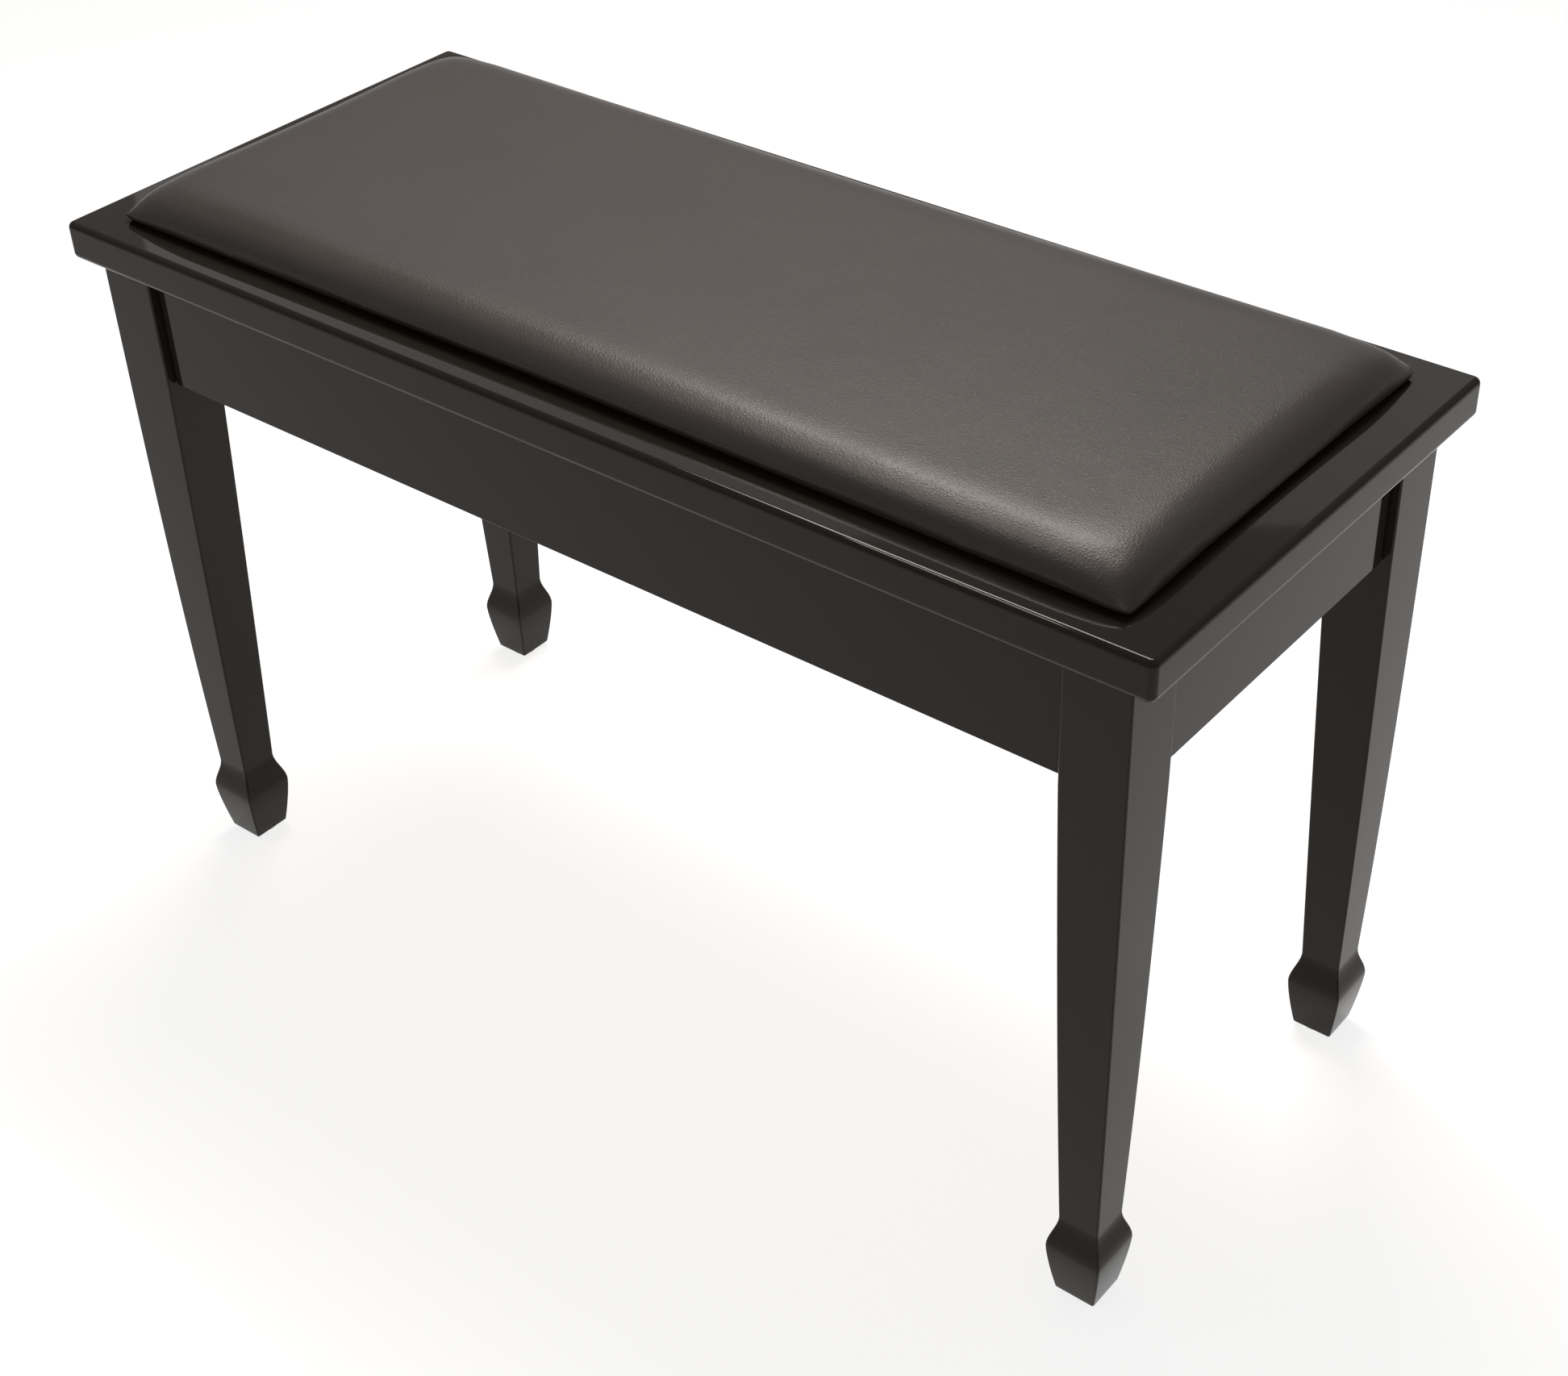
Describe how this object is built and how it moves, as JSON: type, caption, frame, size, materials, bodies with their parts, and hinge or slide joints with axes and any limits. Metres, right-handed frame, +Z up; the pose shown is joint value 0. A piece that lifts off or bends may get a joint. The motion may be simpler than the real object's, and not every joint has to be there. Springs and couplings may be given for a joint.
{
  "type": "piano bench",
  "caption": "Long lacquered bench with a crowned padded lid hinged over a shallow sheet-music compartment, on tapered square legs with spade feet.",
  "frame": {"origin": "on the floor, under the centre of the lid board", "axes": "+X along the length of the bench, +Y towards the hinged back edge, +Z up; the lid opens from the -Y side"},
  "size_m": [0.864, 0.364, 0.554],
  "materials": {
    "black_lacquer": "hard polished black lacquer on wood, high gloss",
    "vinyl_cover": "fine-grained black vinyl, satin",
    "foam": "cut upholstery foam, matt",
    "plywood": "thin plywood, sanded",
    "plain_wood": "planed solid wood, unfinished",
    "hinge_brass": "brass-plated steel, satin",
    "zinc_steel": "zinc-plated steel",
    "felt": "pressed felt, black",
    "nylon": "white nylon"
  },
  "bodies": {
    "frame": {"apron_front": "black_lacquer", "apron_rear": "black_lacquer", "apron_left": "black_lacquer", "apron_right": "black_lacquer", "leg_front_left": "black_lacquer", "leg_front_right": "black_lacquer", "leg_rear_left": "black_lacquer", "leg_rear_right": "black_lacquer", "corner_block_front_left": "plain_wood", "corner_block_front_right": "plain_wood", "corner_block_rear_left": "plain_wood", "corner_block_rear_right": "plain_wood", "corner_block_screws": "zinc_steel", "hanger_bolts": "zinc_steel", "bolt_washers": "zinc_steel", "wing_nuts": "zinc_steel", "cleat_front": "plain_wood", "cleat_rear": "plain_wood", "cleat_left": "plain_wood", "cleat_right": "plain_wood", "floor_panel": "plywood", "floor_screws": "zinc_steel", "hinge_leaf_apron": "hinge_brass", "hinge_pin": "hinge_brass", "hinge_screws_apron": "hinge_brass", "stay_rail_left": "zinc_steel", "stay_rail_right": "zinc_steel", "rail_screws": "zinc_steel", "lid_felts": "felt", "foot_glides": "nylon", "glide_nails": "zinc_steel"},
    "lid": {"lid_panel": "black_lacquer", "pad_board": "plywood", "seat_foam": "foam", "seat_cover": "vinyl_cover", "pad_screws": "zinc_steel", "hinge_leaf_lid": "hinge_brass", "hinge_screws_lid": "hinge_brass", "stay_bracket_left": "zinc_steel", "stay_bracket_right": "zinc_steel", "bracket_screws": "zinc_steel", "stay_pivot_left": "zinc_steel", "stay_pivot_right": "zinc_steel"},
    "stay_arm_left": {"stay_arm_left": "zinc_steel", "stay_slider_left": "zinc_steel"},
    "stay_arm_right": {"stay_arm_right": "zinc_steel", "stay_slider_right": "zinc_steel"}
  },
  "joints": [
    {"name": "lid_hinge", "type": "hinge", "parent": "frame", "child": "lid", "pos_m": [0, 0.1715, 0.4975], "axis": [-1, 0, 0], "range_deg": [0, 75]},
    {"name": "stay_left_pivot", "type": "hinge", "parent": "lid", "child": "stay_arm_left", "pos_m": [-0.3816, 0.02965, 0.49131], "axis": [-1, 0, 0], "range_deg": [-150, 0]},
    {"name": "stay_right_pivot", "type": "hinge", "parent": "lid", "child": "stay_arm_right", "pos_m": [0.3816, 0.02965, 0.49131], "axis": [-1, 0, 0], "range_deg": [-150, 0]}
  ],
  "couplings": [
    {"joint": "stay_left_pivot", "follows": "lid_hinge", "ratio": -2},
    {"joint": "stay_right_pivot", "follows": "lid_hinge", "ratio": -2}
  ]
}
